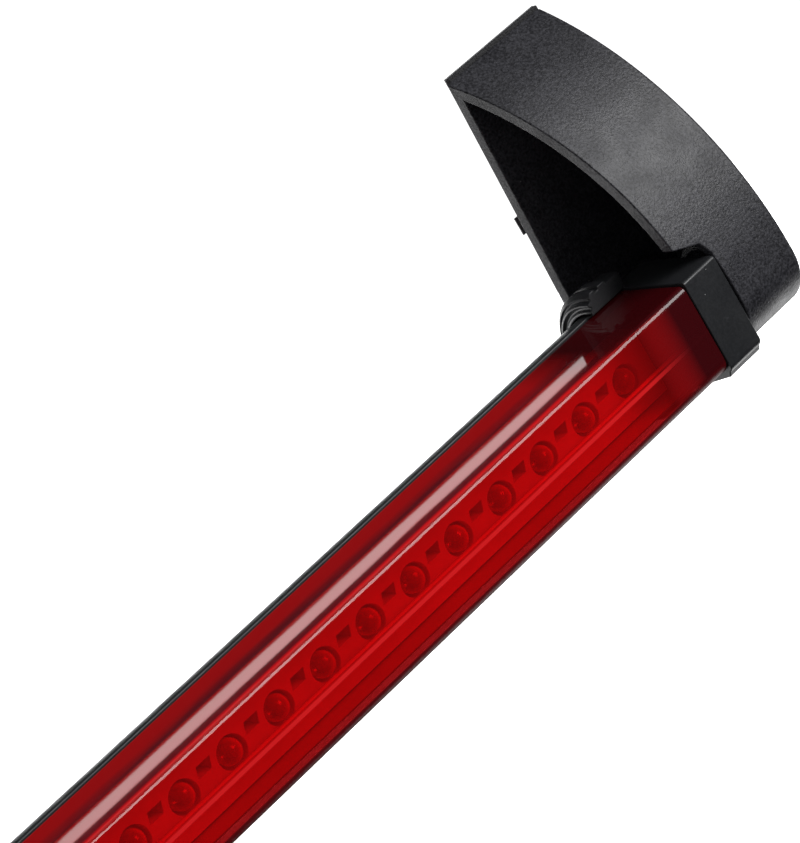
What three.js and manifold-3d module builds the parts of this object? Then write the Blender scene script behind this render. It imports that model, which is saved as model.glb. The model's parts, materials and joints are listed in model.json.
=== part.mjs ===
// Universal 12 V high-mount brake light bar: a lamp with a red lens, hung between two tilting feet.
// Millimetres, +Z up. X runs along the bar and -Y is the way the lamp shines. Every piece is drawn
// about the tilt axis of the feet, halfway along the bar. The finished group is then moved so that
// the origin is the middle of the plane that the feet stick to. The left side mirrors the right.
import * as THREE from 'three';
import { mergeVertices } from 'three/addons/utils/BufferGeometryUtils.js';
import Module from 'manifold-3d';

const wasm = await Module();
wasm.setup();

// ---- driving dimensions -------------------------------------------------------------------
const LENGTH = 410;            // over both feet
const FOOT_WIDTH = 25;         // along the bar
const GAP = 0.3;               // clearance between pieces that touch
const LAMP_END = LENGTH / 2 - FOOT_WIDTH;  // x where lens and housing stop
const CAP_NEAR = LAMP_END + GAP;           // x of the end cap's inner side
const FOOT_FAR = LENGTH / 2;               // x of the foot's closed side

const BACK_RADIUS = 10;        // round back of the lamp, centred on the tilt axis
const LAMP_FRONT = -18;        // y of the lens front
const HOUSING_WALL = 1.8;
const HOUSING_RIM = 0;         // y where the housing's arms stop and the lens begins
const LENS_WALL = 2;
const LENS_TOP = 9.6;
const LENS_BOTTOM = -9.0;

const LED_COUNT = 30;
const LED_PITCH = 11.4;
const LEDS_PER_STRING = 3;
const STRING_COUNT = LED_COUNT / LEDS_PER_STRING;
const LED_RADIUS = 2.5;
const BOARD_FRONT = -1.9;      // y of the board's component side
const BOARD_THICKNESS = 1.6;
const LEG = 0.3;               // half the width of a component leg

const CAP_LENGTH = 8.8;        // end cap along the bar
const COLLAR_RADIUS = 14;      // ribbed collar round the lamp's back
const COLLAR_LENGTH = 8.5;

const FOOT_WALL = 2.2;
const FOOT_BACK = 13.4;        // y of the foot's flat back
const BOW = { y: 47.1, z: 0, r: 65.2 };     // long front curve of the foot
const CHIN = { y: -7.6, z: 0, r: 10.5 };    // bend at the foot's lower front
const HEEL = { y: 1.4, z: 0, r: 12 };       // round bottom about the tilt axis
const FOOT_TOP = BOW.z + Math.sqrt(BOW.r ** 2 - (BOW.y - FOOT_BACK) ** 2);
const OPEN_SIDE = { x: 179.1, lean: 0.044, splay: -0.19 };  // the foot's open side: x at the top
                               // of the back, and how far it moves per mm of z and of y
const BACK_STOP = 9.2;         // z where the flat back ends beside the collar
const BACK_SKIRT = 4.2;        // how much lower it reaches past the collar
const PAD_THICKNESS = 0.8;
const LINER_THICKNESS = 0.3;

const SCREW_RADIUS = 1.9;      // tilt screw
const HEAD_RECESS = { r: 5, depth: 4.1 };   // in the foot's closed side, for the tilt screw's head
const SMALL_SCREW = { y: 5.6, z: 4.4, r: 1.3 };  // end cap screws, above and below the axis
const PORT_LENGTH = 14;        // screw ports at each end of the housing
const PORT_WALL = 1.3;
const INLET_RADIUS = 3;        // hole for the cable grommet
const INLET_WALL = { front: 7.4, back: 10.6 };  // y of the flat boss that the grommet grips

// ---- solids -------------------------------------------------------------------------------
const EXTRUDE_TO_X = new THREE.Matrix4().makeBasis(
  new THREE.Vector3(0, 1, 0), new THREE.Vector3(0, 0, 1), new THREE.Vector3(1, 0, 0));
const LATHE_TO_X = new THREE.Matrix4().makeBasis(
  new THREE.Vector3(0, 0, 1), new THREE.Vector3(1, 0, 0), new THREE.Vector3(0, 1, 0));
const LATHE_TO_FRONT = new THREE.Matrix4().makeBasis(
  new THREE.Vector3(1, 0, 0), new THREE.Vector3(0, -1, 0), new THREE.Vector3(0, 0, -1));

function signedVolume(position, index) {
  const a = new THREE.Vector3();
  const b = new THREE.Vector3();
  const c = new THREE.Vector3();
  let sum = 0;
  for (let i = 0; i < index.length; i += 3) {
    a.fromBufferAttribute(position, index[i]);
    b.fromBufferAttribute(position, index[i + 1]);
    c.fromBufferAttribute(position, index[i + 2]);
    sum += a.dot(b.cross(c)) / 6;
  }
  return sum;
}

function solid(geometry) {
  const shell = geometry.clone();
  shell.deleteAttribute('normal');
  shell.deleteAttribute('uv');
  const merged = mergeVertices(shell, 1e-4);
  let index = Array.from(merged.index.array);
  if (signedVolume(merged.attributes.position, index) < 0) index = index.reverse();
  const triVerts = [];
  for (let i = 0; i < index.length; i += 3) {
    const corners = index.slice(i, i + 3);
    if (new Set(corners).size === 3) triVerts.push(...corners);
  }
  return new wasm.Manifold(new wasm.Mesh({
    numProp: 3,
    vertProperties: Float32Array.from(merged.attributes.position.array),
    triVerts: Uint32Array.from(triVerts),
  }));
}

function geometryOf(manifold, mirrored) {
  const mesh = manifold.getMesh();
  const position = Float32Array.from(mesh.vertProperties);
  const index = Array.from(mesh.triVerts);
  if (mirrored) {
    for (let i = 0; i < position.length; i += 3) position[i] = -position[i];
    index.reverse();
  }
  const geometry = new THREE.BufferGeometry();
  geometry.setAttribute('position', new THREE.BufferAttribute(position, 3));
  geometry.setIndex(index);
  geometry.computeVertexNormals();
  return geometry;
}

// A shape drawn in the section plane (y, z) and run along the bar.
function run(shape, x0, x1, curveSegments = 12) {
  const options = { depth: x1 - x0, bevelEnabled: false, curveSegments };
  const geometry = new THREE.ExtrudeGeometry(shape, options);
  geometry.applyMatrix4(EXTRUDE_TO_X);
  return solid(geometry.translate(x0, 0, 0));
}

function box(x0, x1, y0, y1, z0, z1) {
  const geometry = new THREE.BoxGeometry(x1 - x0, y1 - y0, z1 - z0);
  return solid(geometry.translate((x0 + x1) / 2, (y0 + y1) / 2, (z0 + z1) / 2));
}

// A closed profile of [x, radius] points turned about a line along the bar through (y, z).
function turned(profile, y = 0, z = 0, segments = 20) {
  const points = profile.map(([x, r]) => new THREE.Vector2(r, x));
  const geometry = new THREE.LatheGeometry(points, segments);
  geometry.applyMatrix4(LATHE_TO_X);
  return solid(geometry.translate(0, y, z));
}

function rod(x0, x1, r, y = 0, z = 0, segments = 16) {
  return turned([[x0, 0], [x0, r], [x1, r], [x1, 0]], y, z, segments);
}

// A closed profile of [radius, reach towards the front] points turned about a line along Y.
function turnedToFront(profile, x, z, segments) {
  const points = profile.map(([r, reach]) => new THREE.Vector2(r, reach));
  const geometry = new THREE.LatheGeometry(points, segments);
  geometry.applyMatrix4(LATHE_TO_FRONT);
  return solid(geometry.translate(x, 0, z));
}

const disc = (r, from, to) => turnedToFront([[0, from], [r, from], [r, to], [0, to]], 0, 0, 24);

const join = (first, ...others) => others.reduce((sum, other) => sum.add(other), first);
const cut = (first, ...others) => others.reduce((rest, other) => rest.subtract(other), first);

// ---- lamp ---------------------------------------------------------------------------------
// Round back, flat top and bottom, open towards the front: the lamp's outer section.
function lampSection(radius, front) {
  const shape = new THREE.Shape();
  shape.moveTo(front, radius);
  shape.lineTo(front, -radius);
  shape.absarc(0, 0, radius, -Math.PI / 2, Math.PI / 2, false);
  shape.closePath();
  return shape;
}

function housing() {
  const inner = BACK_RADIUS - HOUSING_WALL;
  const ledge = { depth: 1.5, z: 5.6 };
  const ledgeAngle = Math.asin(ledge.depth / inner);
  const cavity = new THREE.Shape();
  cavity.moveTo(HOUSING_RIM - 1, inner);
  cavity.lineTo(HOUSING_RIM - 1, -inner);
  cavity.lineTo(0, -inner);
  cavity.lineTo(0, -ledge.z);
  cavity.lineTo(ledge.depth, -ledge.z);
  cavity.absarc(0, 0, inner, ledgeAngle - Math.PI / 2, Math.PI / 2 - ledgeAngle, false);
  cavity.lineTo(ledge.depth, ledge.z);
  cavity.lineTo(0, ledge.z);
  cavity.lineTo(0, inner);
  cavity.closePath();
  const channel = cut(
    run(lampSection(BACK_RADIUS, HOUSING_RIM), -LAMP_END, LAMP_END, 16),
    run(cavity, -LAMP_END - 1, LAMP_END + 1, 16));
  const ports = [];
  const bores = [];
  for (const z of [-SMALL_SCREW.z, SMALL_SCREW.z]) {
    for (const [x0, x1] of [[-LAMP_END, PORT_LENGTH - LAMP_END], [LAMP_END - PORT_LENGTH, LAMP_END]]) {
      ports.push(rod(x0, x1, SMALL_SCREW.r + PORT_WALL, SMALL_SCREW.y, z, 12));
      bores.push(rod(x0 - 1, x1 + 1, SMALL_SCREW.r + GAP, SMALL_SCREW.y, z, 12));
    }
  }
  const boss = disc(INLET_RADIUS + 2.5, -INLET_WALL.back, -INLET_WALL.front);
  const inlet = disc(INLET_RADIUS, -INLET_WALL.back - 1, -INLET_WALL.front + 1);
  return cut(join(channel, ...ports, boss), ...bores, inlet);
}

function lens() {
  const rear = HOUSING_RIM - GAP;
  const topRadius = 1.0;
  const bottomRadius = 3.2;
  const inFront = LAMP_FRONT + LENS_WALL;
  const inTop = LENS_TOP - LENS_WALL;
  const inBottom = LENS_BOTTOM + LENS_WALL;
  const inRadius = bottomRadius - LENS_WALL;
  const rib = 0.7;             // light-guiding rib along the middle of the inside
  const down = 1.5 * Math.PI;
  const shape = new THREE.Shape();
  shape.moveTo(rear, LENS_TOP);
  shape.absarc(LAMP_FRONT + topRadius, LENS_TOP - topRadius, topRadius, Math.PI / 2, Math.PI);
  shape.absarc(LAMP_FRONT + bottomRadius, LENS_BOTTOM + bottomRadius, bottomRadius, Math.PI, down);
  shape.lineTo(rear, LENS_BOTTOM);
  shape.lineTo(rear, inBottom);
  shape.absarc(inFront + inRadius, inBottom + inRadius, inRadius, down, Math.PI, true);
  shape.lineTo(inFront, -rib);
  shape.lineTo(inFront + rib, 0);
  shape.lineTo(inFront, rib);
  shape.lineTo(inFront, inTop);
  shape.lineTo(rear, inTop);
  shape.closePath();
  return run(shape, -LAMP_END, LAMP_END, 6);
}

const BOARD_HALF_HEIGHT = 6.7;
const BOARD_HALF_LENGTH = LAMP_END - 4;

function circuitBoard() {
  return box(-BOARD_HALF_LENGTH, BOARD_HALF_LENGTH, BOARD_FRONT, BOARD_FRONT + BOARD_THICKNESS,
    -BOARD_HALF_HEIGHT, BOARD_HALF_HEIGHT);
}

const ledX = (i) => (i - (LED_COUNT - 1) / 2) * LED_PITCH;

function reflector() {
  const half = LED_PITCH * LED_COUNT / 2 + 1;
  const halfHeight = 6.6;
  const back = 4.5;            // reach of the tray's back and front from the tilt axis
  const front = 9.5;
  const throat = 2.9;          // radius where the LED comes through
  const mouth = 3.2;
  const slot = { half: 1.8, low: 0.5, high: 2.5 };  // between each two LEDs
  const cup = [
    [0, back - 0.5], [throat, back - 0.5], [throat, back + 1.2],
    [mouth, front + 0.2], [0, front + 0.2]];
  const holes = [];
  for (let i = 0; i < LED_COUNT; i += 1) holes.push(turnedToFront(cup, ledX(i), 0, 10));
  for (let i = 1; i < LED_COUNT; i += 1) {
    const x = ledX(i - 0.5);
    holes.push(box(x - slot.half, x + slot.half, -front - 1, -back + 1, slot.low, slot.high));
  }
  return cut(box(-half, half, -front, -back, -halfHeight, halfHeight), ...holes);
}

// One LED: collar, straight body and dome, as reach from the tilt axis towards the front.
function led(x) {
  const base = -BOARD_FRONT + GAP;
  const collarTop = base + 1;
  const shoulder = base + 6.1;
  const profile = [
    [0, base], [LED_RADIUS + 0.4, base], [LED_RADIUS + 0.4, collarTop],
    [LED_RADIUS, collarTop], [LED_RADIUS, shoulder]];
  const steps = 2;
  for (let i = 1; i <= steps; i += 1) {
    const angle = i / steps * Math.PI / 2;
    profile.push([LED_RADIUS * Math.cos(angle), shoulder + LED_RADIUS * Math.sin(angle)]);
  }
  return turnedToFront(profile, x, 0, 8);
}

// Three LEDs in series, held together by the copper bridge that links their legs.
function ledString(number) {
  const first = number * LEDS_PER_STRING;
  const places = [...Array(LEDS_PER_STRING).keys()].map((i) => ledX(first + i));
  const face = BOARD_FRONT - GAP;
  const bridge = box(places[0], places[LEDS_PER_STRING - 1], face - 0.6, face, -0.8, 0.8);
  return join(bridge, ...places.map(led));
}

// Axial part along the bar with its two legs bent down onto the back of the board.
function axialPart(x, radius, halfLength) {
  const y = 1.6;
  const reach = halfLength + 1.2;
  const body = rod(x - halfLength, x + halfLength, radius, y, 0, 8);
  const wire = box(x - reach - LEG, x + reach + LEG, y - LEG, y + LEG, -LEG, LEG);
  const legs = [-reach, reach].map((dx) => box(x + dx - LEG, x + dx + LEG, 0, y, -LEG, LEG));
  return join(body, wire, ...legs);
}

const resistor = (x) => axialPart(x, 1.15, 3.1);
const polarityDiode = () => axialPart(0, 1.35, 2.6);

// Rubber ring in the housing's back, waisted where the wall sits; its bore is the cable inlet.
function cableGrommet() {
  const waist = INLET_RADIUS - GAP;
  const bore = 1.4;
  const outer = -INLET_WALL.back - GAP;
  const inner = -INLET_WALL.front + GAP;
  return turnedToFront([
    [bore, outer - 1.5], [waist + 0.7, outer - 1.5], [waist + 1.7, outer], [waist, outer],
    [waist, inner], [waist + 1.2, inner], [waist + 0.7, inner + 1.2], [bore, inner + 1.2],
    [bore, outer - 1.5]], 0, 0, 20);
}

// ---- end cap ------------------------------------------------------------------------------
const CAP_FAR = CAP_NEAR + CAP_LENGTH;

// Ribbed collar: a stepped ring about the tilt axis, cut away where the lens comes through.
function collar() {
  const near = LAMP_END - COLLAR_LENGTH;
  const inside = BACK_RADIUS - 1;
  const groove = COLLAR_RADIUS - 0.6;
  const ring = turned([
    [near, inside], [near, COLLAR_RADIUS - 1], [near + 0.8, COLLAR_RADIUS - 0.4],
    [near + 1.8, COLLAR_RADIUS], [near + 2.8, COLLAR_RADIUS], [near + 2.8, groove],
    [near + 3.6, groove], [near + 3.6, COLLAR_RADIUS], [near + 5.5, COLLAR_RADIUS],
    [near + 5.8, groove], [CAP_NEAR + 0.5, groove], [CAP_NEAR + 0.5, inside],
    [near, inside]], 0, 0, 40);
  const wayOut = 30;           // past everything in front of the lamp
  const front = new THREE.Shape();
  front.moveTo(0, 0);
  front.lineTo(-2, COLLAR_RADIUS + 0.6);
  front.lineTo(-wayOut, COLLAR_RADIUS + 0.6);
  front.lineTo(-wayOut, -wayOut);
  front.closePath();
  return cut(ring,
    run(lampSection(BACK_RADIUS + GAP, -1), near - 1, LAMP_END + GAP / 2),
    box(near - 1, LAMP_END + GAP / 2, -wayOut, 0, LENS_BOTTOM - GAP, LENS_TOP + GAP),
    run(front, near - 1, CAP_NEAR + 1));
}

// Flat block beside the lens end, with a round chin that fills the foot's notch from below.
function capBlock() {
  const corner = { top: 0.6, bottom: 1.4 };
  const lip = { y: LAMP_FRONT + 1.6, z: LENS_BOTTOM - 1.3 };
  const chinRadius = COLLAR_RADIUS - 0.6;
  const outline = new THREE.Shape();
  outline.moveTo(0, BACK_RADIUS);
  outline.absarc(LAMP_FRONT + corner.top, BACK_RADIUS - corner.top, corner.top, Math.PI / 2, Math.PI);
  outline.absarc(LAMP_FRONT + corner.bottom, LENS_BOTTOM - GAP + corner.bottom, corner.bottom,
    Math.PI, 1.4 * Math.PI);
  outline.lineTo(lip.y, lip.z);
  outline.absarc(0, 0, chinRadius, 1.36 * Math.PI, 1.6 * Math.PI);
  outline.absarc(0, 0, BACK_RADIUS, -0.3 * Math.PI, Math.PI / 2);
  outline.closePath();
  return run(outline, CAP_NEAR, CAP_FAR);
}

// Raised ring of teeth that the foot's boss bears on.
function ratchet() {
  const teeth = 8;
  const radius = 3.4;
  const pieces = [rod(CAP_FAR - 0.5, CAP_FAR + 0.8, radius + 1)];
  for (let i = 0; i < teeth; i += 1) {
    const angle = i / teeth * 2 * Math.PI;
    const y = radius * Math.cos(angle);
    const z = radius * Math.sin(angle);
    pieces.push(rod(CAP_FAR, CAP_FAR + 1.5, 0.45, y, z, 4));
  }
  return join(...pieces);
}

function endCap() {
  const plug = box(LAMP_END - 3, CAP_NEAR + 0.5, LAMP_FRONT + 3.2, 2.5, -5.2, 5.2);
  const pilot = rod(LAMP_END + 1, CAP_FAR + 2, SCREW_RADIUS + GAP);
  const recesses = [];
  for (const z of [-SMALL_SCREW.z, SMALL_SCREW.z]) {
    recesses.push(rod(LAMP_END - 1, CAP_FAR + 1, SMALL_SCREW.r + GAP, SMALL_SCREW.y, z, 12));
    recesses.push(rod(CAP_FAR - 2.4, CAP_FAR + 1, SMALL_SCREW.r + 1.5, SMALL_SCREW.y, z, 12));
  }
  return cut(join(capBlock(), plug, collar(), ratchet()), pilot, ...recesses);
}

// Pan-head screw along the bar, with a cross recess in its head.
function screw({ tip, seat, shank, head, headLength, y = 0, z = 0 }) {
  const end = seat + headLength;
  const body = turned([
    [tip, 0], [tip + shank, shank], [seat, shank], [seat, head], [seat + headLength * 0.6, head],
    [end, head * 0.7], [end, 0]], y, z, 12);
  const recess = { from: seat + headLength * 0.45, long: head * 0.55, thin: 0.35 };
  return cut(body,
    box(recess.from, end + 1, y - recess.long, y + recess.long, z - recess.thin, z + recess.thin),
    box(recess.from, end + 1, y - recess.thin, y + recess.thin, z - recess.long, z + recess.long));
}

const capScrew = (z) => screw({
  tip: LAMP_END - 10,
  seat: CAP_FAR - 2.1,
  shank: SMALL_SCREW.r,
  head: SMALL_SCREW.r + 1.1,
  headLength: 1.8,
  y: SMALL_SCREW.y,
  z,
});

// ---- foot ---------------------------------------------------------------------------------
// Angle at which the straight line that touches two circles from outside leaves them.
function tangentAngle(from, to) {
  const along = Math.atan2(to.z - from.z, to.y - from.y);
  const distance = Math.hypot(to.z - from.z, to.y - from.y);
  return along - Math.acos((from.r - to.r) / distance);
}

// The foot's side outline, pulled in by an inset: flat back, bow, chin and heel.
function footOutline(inset) {
  const bow = { ...BOW, r: BOW.r - inset };
  const chin = { ...CHIN, r: CHIN.r - inset };
  const heel = { ...HEEL, r: HEEL.r - inset };
  const back = FOOT_BACK - inset;
  const top = Math.atan2(Math.sqrt(bow.r ** 2 - (back - bow.y) ** 2), back - bow.y);
  const slope = tangentAngle(chin, heel);
  const shape = new THREE.Shape();
  shape.absarc(bow.y, bow.z, bow.r, top, Math.PI, false);
  shape.absarc(chin.y, chin.z, chin.r, Math.PI, slope + 2 * Math.PI, false);
  shape.absarc(heel.y, heel.z, heel.r, slope, 0, false);
  shape.closePath();
  return shape;
}

// Everything on the lamp's side of the foot's slanting open side.
function openSide() {
  const size = 200;
  const geometry = new THREE.BoxGeometry(size, size, size);
  geometry.translate(-size / 2, 0, 0);
  geometry.applyMatrix4(new THREE.Matrix4().set(
    1, OPEN_SIDE.splay, OPEN_SIDE.lean, OPEN_SIDE.x,
    0, 1, 0, FOOT_BACK,
    0, 0, 1, FOOT_TOP,
    0, 0, 0, 1));
  return solid(geometry);
}

// The room for the end cap, drawn from the front: x and z, run along Y.
function capNotch(y0, y1) {
  const clear = CAP_FAR + GAP;
  const shape = new THREE.Shape();
  shape.moveTo(LAMP_END - 12, 21);
  shape.lineTo(clear - 1, 12.8);
  shape.lineTo(clear, BACK_RADIUS + GAP);
  shape.lineTo(clear, -20);
  shape.lineTo(LAMP_END - 12, -20);
  shape.closePath();
  const geometry = new THREE.ExtrudeGeometry(shape, { depth: y1 - y0, bevelEnabled: false });
  geometry.rotateX(Math.PI / 2);
  return solid(geometry.translate(0, y1, 0));
}

// The cup, open towards the lamp, notched round the end cap, with a boss for the tilt screw.
function foot() {
  const start = LAMP_END - 12;
  const collarEnd = CAP_NEAR + 0.8;
  const cup = cut(
    run(footOutline(0), start, FOOT_FAR, 20),
    run(footOutline(FOOT_WALL), start - 1, FOOT_FAR - 2, 20),
    openSide(),
    capNotch(LAMP_FRONT - 10, FOOT_BACK - FOOT_WALL - 0.4),
    box(start - 1, collarEnd, 0, FOOT_BACK + 10, -20, BACK_STOP),
    box(start - 1, CAP_FAR + GAP, 0, FOOT_BACK + 10, -20, BACK_STOP - BACK_SKIRT));
  const boss = rod(CAP_FAR + 2, FOOT_FAR - 1, 5.2);
  const seat = rod(FOOT_FAR - 6, FOOT_FAR - 1, HEAD_RECESS.r + 1.6);
  const bore = rod(CAP_FAR, FOOT_FAR + 1, SCREW_RADIUS + GAP);
  const recess = rod(FOOT_FAR - HEAD_RECESS.depth, FOOT_FAR + 1, HEAD_RECESS.r);
  return cut(join(cup, boss, seat), bore, recess);
}

function springWasher() {
  const x0 = FOOT_FAR - HEAD_RECESS.depth + GAP;
  const x1 = x0 + 0.8;
  const bore = SCREW_RADIUS + 0.4;
  const rim = HEAD_RECESS.r - 0.7;
  return turned([[x0, bore], [x0, rim], [x1, rim], [x1, bore], [x0, bore]]);
}

const tiltScrew = () => screw({
  tip: LAMP_END + 3,
  seat: FOOT_FAR - 2.7,
  shank: SCREW_RADIUS,
  head: HEAD_RECESS.r - 1,
  headLength: 2.4,
});

const PAD_FACE = FOOT_BACK + GAP + PAD_THICKNESS;
const LINER_FACE = PAD_FACE + GAP + LINER_THICKNESS;
const PAD_TOP = FOOT_TOP + 0.4;
const PAD_NEAR = CAP_NEAR;

const adhesivePad = () => (
  box(PAD_NEAR, FOOT_FAR, PAD_FACE - PAD_THICKNESS, PAD_FACE, BACK_STOP, PAD_TOP));

// Release film over the pad, with a pull tab past the open side.
function padLiner() {
  const tab = { reach: 2.1, bottom: 24, top: 27.6 };
  return join(
    box(PAD_NEAR, FOOT_FAR, PAD_FACE + GAP, LINER_FACE, BACK_STOP, PAD_TOP),
    box(PAD_NEAR - tab.reach, PAD_NEAR + 1, PAD_FACE + GAP, LINER_FACE, tab.bottom, tab.top));
}

// ---- materials ----------------------------------------------------------------------------
const material = (color, roughness, metalness = 0, more = {}) => (
  new THREE.MeshStandardMaterial({ color, roughness, metalness, ...more }));

const blackPlastic = material(0x1c1c1e, 0.5);
const redLens = material(0xa80808, 0.12, 0, { transparent: true, opacity: 0.75 });
const reflectorPlastic = material(0xc8c8c8, 0.25, 0.6);
const boardGreen = material(0x1f5c34, 0.55);
const ledRed = material(0xc01010, 0.15);
const resistorBody = material(0xc9a26a, 0.6);
const diodeBody = material(0x18181a, 0.45);
const blackRubber = material(0x151515, 0.85);
const blackenedSteel = material(0x3a3a3c, 0.35, 0.9);
const foam = material(0x2c2c2e, 0.95);
const film = material(0x46464a, 0.3);

// ---- assembly -----------------------------------------------------------------------------
const light = new THREE.Group();
light.position.set(0, -LINER_FACE, -(BACK_STOP + PAD_TOP) / 2);

function place(name, shape, look, mirrored = false) {
  const mesh = new THREE.Mesh(geometryOf(shape, mirrored), look);
  mesh.name = name;
  light.add(mesh);
}

const numbered = (name, i) => `${name}_${String(i + 1).padStart(2, '0')}`;

place('housing', housing(), blackPlastic);
place('lens', lens(), redLens);
place('reflector', reflector(), reflectorPlastic);
place('circuit_board', circuitBoard(), boardGreen);
place('polarity_diode', polarityDiode(), diodeBody);
place('cable_grommet', cableGrommet(), blackRubber);
for (let i = 0; i < STRING_COUNT; i += 1) {
  place(numbered('led_string', i), ledString(i), ledRed);
  place(numbered('resistor', i), resistor(ledX(LEDS_PER_STRING * i + 1)), resistorBody);
}

for (const [side, mirrored] of [['right', false], ['left', true]]) {
  place(`${side}_end_cap`, endCap(), blackPlastic, mirrored);
  place(`${side}_cap_screw_upper`, capScrew(SMALL_SCREW.z), blackenedSteel, mirrored);
  place(`${side}_cap_screw_lower`, capScrew(-SMALL_SCREW.z), blackenedSteel, mirrored);
  place(`${side}_foot`, foot(), blackPlastic, mirrored);
  place(`${side}_tilt_screw`, tiltScrew(), blackenedSteel, mirrored);
  place(`${side}_spring_washer`, springWasher(), blackenedSteel, mirrored);
  place(`${side}_adhesive_pad`, adhesivePad(), foam, mirrored);
  place(`${side}_pad_liner`, padLiner(), film, mirrored);
}

export default light;
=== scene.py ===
import json
import math

import bmesh
import bpy
from mathutils import Matrix, Vector


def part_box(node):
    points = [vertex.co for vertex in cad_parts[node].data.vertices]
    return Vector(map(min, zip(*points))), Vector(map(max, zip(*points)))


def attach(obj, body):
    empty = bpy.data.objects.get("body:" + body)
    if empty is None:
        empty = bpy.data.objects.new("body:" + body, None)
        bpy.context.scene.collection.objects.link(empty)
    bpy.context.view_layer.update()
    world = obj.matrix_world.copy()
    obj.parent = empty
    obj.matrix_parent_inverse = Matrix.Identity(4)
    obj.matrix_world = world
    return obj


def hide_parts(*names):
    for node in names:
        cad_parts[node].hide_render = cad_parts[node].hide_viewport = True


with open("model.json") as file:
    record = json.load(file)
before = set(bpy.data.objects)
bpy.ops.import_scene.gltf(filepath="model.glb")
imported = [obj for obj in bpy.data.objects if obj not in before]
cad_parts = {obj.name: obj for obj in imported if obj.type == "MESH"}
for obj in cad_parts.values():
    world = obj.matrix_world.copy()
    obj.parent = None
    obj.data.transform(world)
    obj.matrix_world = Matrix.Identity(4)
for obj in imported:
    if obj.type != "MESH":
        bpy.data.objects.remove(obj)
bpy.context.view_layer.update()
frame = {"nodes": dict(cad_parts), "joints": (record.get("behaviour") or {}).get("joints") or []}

# Shapes are drawn in millimetres about the tilt axis, x from the bar's middle, and each finished
# piece is then moved into the frame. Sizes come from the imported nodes' boxes where they can.
MM = 0.001
TILT = next(Vector(j["pos_m"]) for j in frame["joints"] if j["child"] == "right_foot")
AXIS = Vector((0, TILT.y, TILT.z))


def about_axis(node):
    """A CAD node's lowest and highest corners in millimetres about the tilt axis."""
    low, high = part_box(node)
    return (low - AXIS) / MM, (high - AXIS) / MM


LENS_LOW, LENS_HIGH = about_axis("lens")
HOUSING_LOW, HOUSING_HIGH = about_axis("housing")
CAP_LOW, CAP_HIGH = about_axis("right_end_cap")
FOOT_LOW, FOOT_HIGH = about_axis("right_foot")
PAD_LOW, PAD_HIGH = about_axis("right_adhesive_pad")
LINER_LOW, LINER_HIGH = about_axis("right_pad_liner")
TRAY_LOW, TRAY_HIGH = about_axis("reflector")
GROMMET_LOW, GROMMET_HIGH = about_axis("cable_grommet")

LED_COUNT = 30
LEDS_PER_STRING = 3
LED_PITCH = (TRAY_HIGH.x * 2 - 2) / LED_COUNT
GAP = 0.3                              # clearance between pieces that touch
TOOTH = 1.5                            # reach of the ratchet teeth past the end cap
CAP_NEAR = HOUSING_HIGH.x + GAP
CAP_FAR = CAP_HIGH.x - TOOTH
CAP_SCREW_Y, CAP_SCREW_Z = 5.6, 4.4    # the small screws lie above and below the axis
SQUARE = ((-1, -1), (1, -1), (1, 1), (-1, 1))


# ---- outlines and solids --------------------------------------------------------------------
def arc(cy, cz, radius, start, end, steps):
    """Points on a circle in the section plane, angles in degrees from +Y towards +Z."""
    turns = [math.radians(start + (end - start) * i / steps) for i in range(steps + 1)]
    return [(cy + radius * math.cos(a), cz + radius * math.sin(a)) for a in turns]


def prism(outline, x0, x1):
    """A section (y, z) run along the bar."""
    bm = bmesh.new()
    near = [bm.verts.new((x0, y, z)) for y, z in outline]
    far = [bm.verts.new((x1, y, z)) for y, z in outline]
    bm.faces.new(near)
    bm.faces.new(reversed(far))
    for i in range(len(outline)):
        bm.faces.new((near[i - 1], far[i - 1], far[i], near[i]))
    bmesh.ops.recalc_face_normals(bm, faces=bm.faces)
    return bm


def block(x0, x1, y0, y1, z0, z1):
    return prism([(y0, z0), (y1, z0), (y1, z1), (y0, z1)], x0, x1)


def skin(rings):
    """A closed body through rings of points, its first and last ring capped."""
    bm = bmesh.new()
    loops = [[bm.verts.new(p) for p in ring] for ring in rings]
    for a, b in zip(loops, loops[1:]):
        for i in range(len(a)):
            bm.faces.new((a[i - 1], b[i - 1], b[i], a[i]))
    bm.faces.new(loops[0])
    bm.faces.new(reversed(loops[-1]))
    bmesh.ops.recalc_face_normals(bm, faces=bm.faces)
    return bm


def circle(radius, steps):
    turns = [2 * math.pi * i / steps for i in range(steps)]
    return [(radius * math.cos(a), radius * math.sin(a)) for a in turns]


def turned(profile, y=0.0, z=0.0, steps=32):
    """[x, radius] points turned about a line along the bar, with flat ends."""
    return skin([[(x, y + a, z + b) for a, b in circle(r, steps)] for x, r in profile])


def turned_to_front(profile, x, steps=32):
    """[reach, radius] points turned about a line towards the front."""
    return skin([[(x + a, -reach, b) for a, b in circle(r, steps)] for reach, r in profile])


def ring(profile, place, steps):
    """A closed [along, radius] profile turned all the way round; place maps it to x, y, z."""
    bm = bmesh.new()
    loops = []
    for c, s in circle(1, steps):
        loops.append([bm.verts.new(place(along, r * c, r * s)) for along, r in profile])
    for k in range(steps):
        a, b = loops[k - 1], loops[k]
        for i in range(len(profile)):
            bm.faces.new((a[i - 1], b[i - 1], b[i], a[i]))
    bmesh.ops.recalc_face_normals(bm, faces=bm.faces)
    return bm


def panel(outline, y0, y1):
    """An outline seen from the front (x, z) run from front to back."""
    return skin([[(x, y, z) for x, z in outline] for y in (y0, y1)])


def round_edges(bm, chosen, radius):
    """Rounds the sharp edges whose two ends both pass the test."""
    edges = [e for e in bm.edges if chosen(e.verts[0].co) and chosen(e.verts[1].co)]
    edges = [e for e in edges if e.calc_face_angle(0) > math.radians(40)]
    bmesh.ops.bevel(bm, geom=edges, offset=radius, segments=3, profile=0.5, affect="EDGES")
    return bm


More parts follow.
